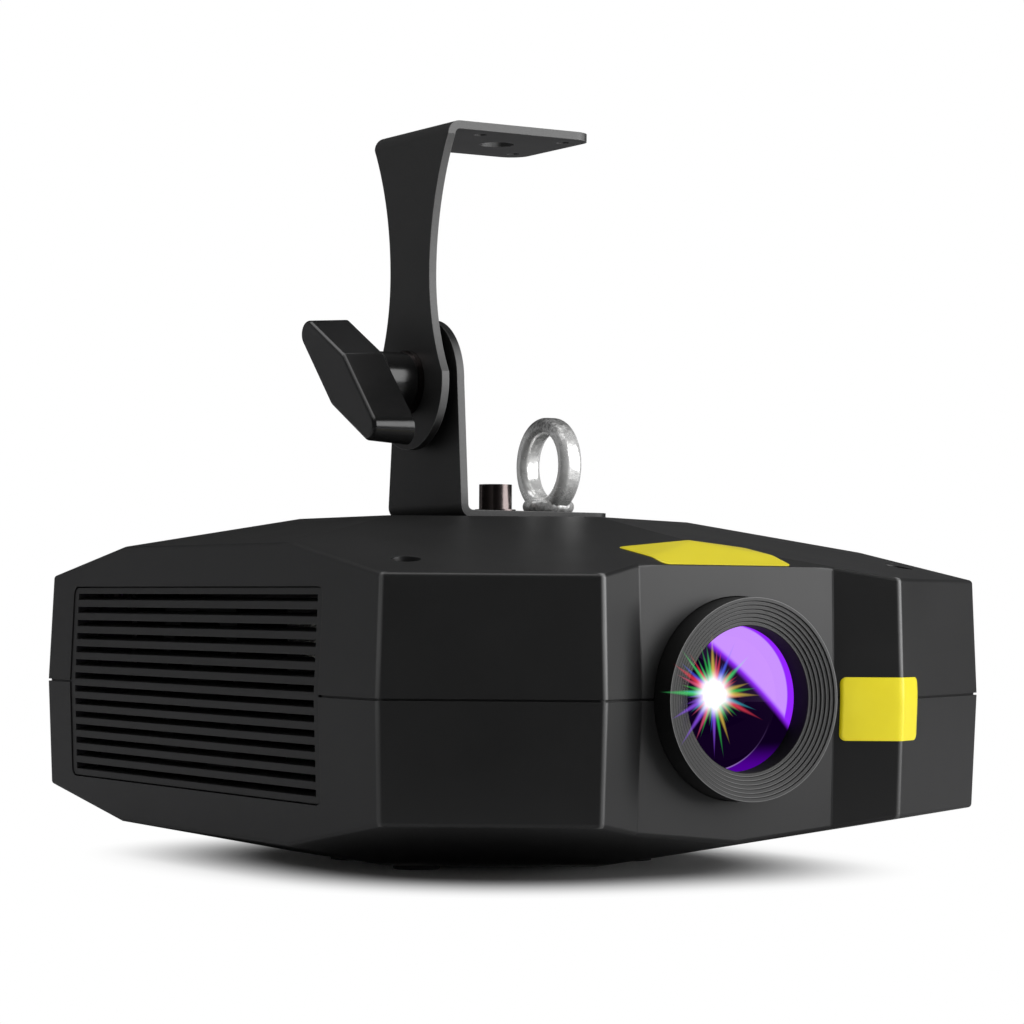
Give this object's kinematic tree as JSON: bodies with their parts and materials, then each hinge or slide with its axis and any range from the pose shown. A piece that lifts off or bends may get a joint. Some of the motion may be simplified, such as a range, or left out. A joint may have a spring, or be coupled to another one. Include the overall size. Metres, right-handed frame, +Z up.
{
  "type": "laser show projector",
  "caption": "Faceted black stage laser projector with louvred sides, a stepped lens barrel in front, a safety eye and a tilting hanger bracket with a clamp knob.",
  "frame": {"origin": "on the standing surface, below the middle of the housing", "axes": "+Z up, -Y out of the lens, -X towards the clamp knob"},
  "size_m": [0.247, 0.343, 0.273],
  "materials": {
    "shell_plastic": "fine matte moulded black",
    "louvre_plastic": "matte moulded black",
    "foot_rubber": "soft black rubber",
    "barrel_plastic": "satin black",
    "coated_glass": "coated optical glass",
    "bracket_coat": "black powder coat",
    "zinc_steel": "bright zinc plate",
    "dark_screw": "black nickel plate",
    "knob_plastic": "satin moulded black",
    "liner_plastic": "hard fibre",
    "panel_coat": "black powder coat",
    "socket_plastic": "satin black moulding",
    "socket_metal": "nickel plate",
    "contact_brass": "plated contact",
    "screen_plastic": "smoked window",
    "bare_aluminium": "machined",
    "dark_aluminium": "black anodised",
    "chassis_steel": "zinc coated sheet",
    "board_laminate": "green circuit board",
    "mirror_coat": "first surface mirror",
    "fan_plastic": "black moulding"
  },
  "bodies": {
    "housing": {"top_shell": "shell_plastic", "bottom_shell": "shell_plastic", "left_louvre": "louvre_plastic", "right_louvre": "louvre_plastic", "rubber_feet": "foot_rubber", "lens_barrel": "barrel_plastic", "lens_retainer": "barrel_plastic", "lens_glass": "coated_glass", "foot_bracket": "bracket_coat", "eyebolt": "zinc_steel", "weld_nut": "zinc_steel", "roof_backing_plate": "zinc_steel", "foot_cap_screw": "dark_screw", "foot_spring_washer": "dark_screw", "foot_flat_washer": "dark_screw", "shell_screws": "dark_screw", "rear_panel_screws": "dark_screw", "friction_liner": "liner_plastic", "rear_panel": "panel_coat", "power_inlet": "socket_plastic", "rocker_frame": "socket_plastic", "fuse_holder": "socket_plastic", "interlock_socket": "socket_plastic", "dmx_input": "socket_metal", "dmx_output": "socket_metal", "show_socket": "socket_metal", "key_switch_body": "socket_metal", "power_inlet_blades": "contact_brass", "dmx_pins": "contact_brass", "display_window": "screen_plastic", "laser_module": "bare_aluminium", "scanner_block": "bare_aluminium", "heat_sink": "bare_aluminium", "galvo_motors": "dark_aluminium", "power_supply": "dark_aluminium", "chassis_plate": "chassis_steel", "chassis_screws": "chassis_steel", "board_standoffs": "chassis_steel", "driver_board": "board_laminate", "control_board": "board_laminate", "display_board": "board_laminate", "fold_mirror": "mirror_coat", "left_fan_frame": "fan_plastic", "right_fan_frame": "fan_plastic"},
    "hanger": {"hanger_arm": "bracket_coat"},
    "knob": {"clamp_knob": "knob_plastic", "clamp_stud": "zinc_steel", "knob_washer": "dark_screw"},
    "rocker": {"rocker_switch": "socket_plastic"},
    "key": {"key_barrel": "socket_metal"},
    "button_1": {"menu_button_1": "socket_plastic"},
    "button_2": {"menu_button_2": "socket_plastic"},
    "button_3": {"menu_button_3": "socket_plastic"},
    "button_4": {"menu_button_4": "socket_plastic"},
    "left_rotor": {"left_fan_rotor": "fan_plastic"},
    "right_rotor": {"right_fan_rotor": "fan_plastic"},
    "mirror_low": {"sweep_mirror_low": "mirror_coat"},
    "mirror_high": {"sweep_mirror_high": "mirror_coat"}
  },
  "joints": [
    {"name": "hanger_tilt", "type": "hinge", "parent": "housing", "child": "hanger", "pos_m": [-0.036, 0, 0.178], "axis": [1, 0, 0], "range_deg": [-90, 90]},
    {"name": "knob_turn", "type": "hinge", "parent": "housing", "child": "knob", "pos_m": [-0.0465, 0, 0.178], "axis": [-1, 0, 0], "range_deg": [0, 360]},
    {"name": "rocker_tip", "type": "hinge", "parent": "housing", "child": "rocker", "pos_m": [0.006, 0.148, 0.043], "axis": [1, 0, 0], "range_deg": [0, 18]},
    {"name": "key_turn", "type": "hinge", "parent": "housing", "child": "key", "pos_m": [0.043, 0.15, 0.043], "axis": [0, 1, 0], "range_deg": [0, 90]},
    {"name": "button_1_press", "type": "slide", "parent": "housing", "child": "button_1", "axis": [0, -1, 0], "range_m": [0, 0.001], "stiffness_N_per_m": 500},
    {"name": "button_2_press", "type": "slide", "parent": "housing", "child": "button_2", "axis": [0, -1, 0], "range_m": [0, 0.001], "stiffness_N_per_m": 500},
    {"name": "button_3_press", "type": "slide", "parent": "housing", "child": "button_3", "axis": [0, -1, 0], "range_m": [0, 0.001], "stiffness_N_per_m": 500},
    {"name": "button_4_press", "type": "slide", "parent": "housing", "child": "button_4", "axis": [0, -1, 0], "range_m": [0, 0.001], "stiffness_N_per_m": 500},
    {"name": "left_fan_spin", "type": "hinge", "parent": "housing", "child": "left_rotor", "pos_m": [-0.1, 0.0094, 0.065], "axis": [1, 0, 0], "continuous": true},
    {"name": "right_fan_spin", "type": "hinge", "parent": "housing", "child": "right_rotor", "pos_m": [0.1, 0.0094, 0.065], "axis": [1, 0, 0], "continuous": true},
    {"name": "mirror_low_sweep", "type": "hinge", "parent": "housing", "child": "mirror_low", "pos_m": [0, -0.105, 0.047], "axis": [0, 1, 0], "range_deg": [-12, 12], "stiffness_Nm_per_rad": 0.002},
    {"name": "mirror_high_sweep", "type": "hinge", "parent": "housing", "child": "mirror_high", "pos_m": [0, -0.105, 0.065], "axis": [1, 0, 0], "range_deg": [-12, 12], "stiffness_Nm_per_rad": 0.002}
  ]
}
